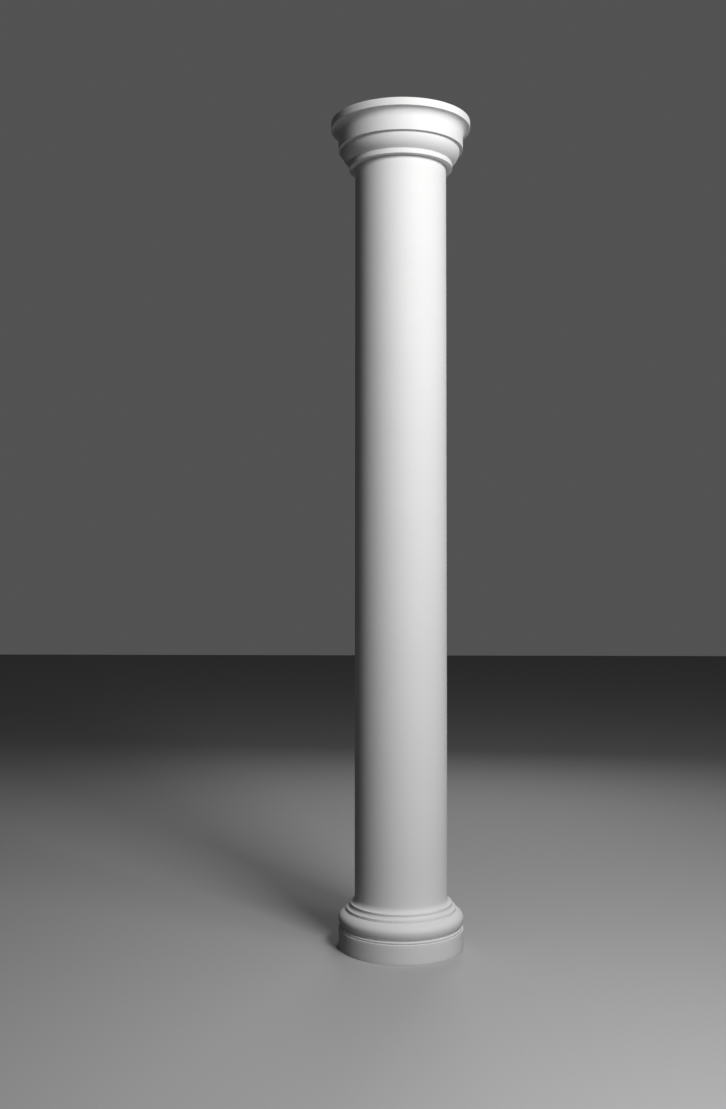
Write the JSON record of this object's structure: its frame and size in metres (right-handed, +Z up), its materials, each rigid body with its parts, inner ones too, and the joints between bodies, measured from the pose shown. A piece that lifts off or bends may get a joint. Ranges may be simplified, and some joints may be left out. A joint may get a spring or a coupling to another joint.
{
  "type": "column",
  "caption": "Round white column with a smooth, slightly tapered shaft, a moulded torus base on a round plinth, and a plain round capital with a flat top.",
  "frame": {"origin": "centre of the plinth's underside", "axes": "+Z up along the column's axis, towards the capital; the column is round, so X and Y are free"},
  "size_m": [0.407, 0.407, 2.4],
  "materials": {
    "plaster": "matte white plaster"
  },
  "bodies": {
    "root": {"plinth": "plaster", "base": "plaster", "shaft": "plaster", "capital": "plaster"}
  },
  "joints": []
}
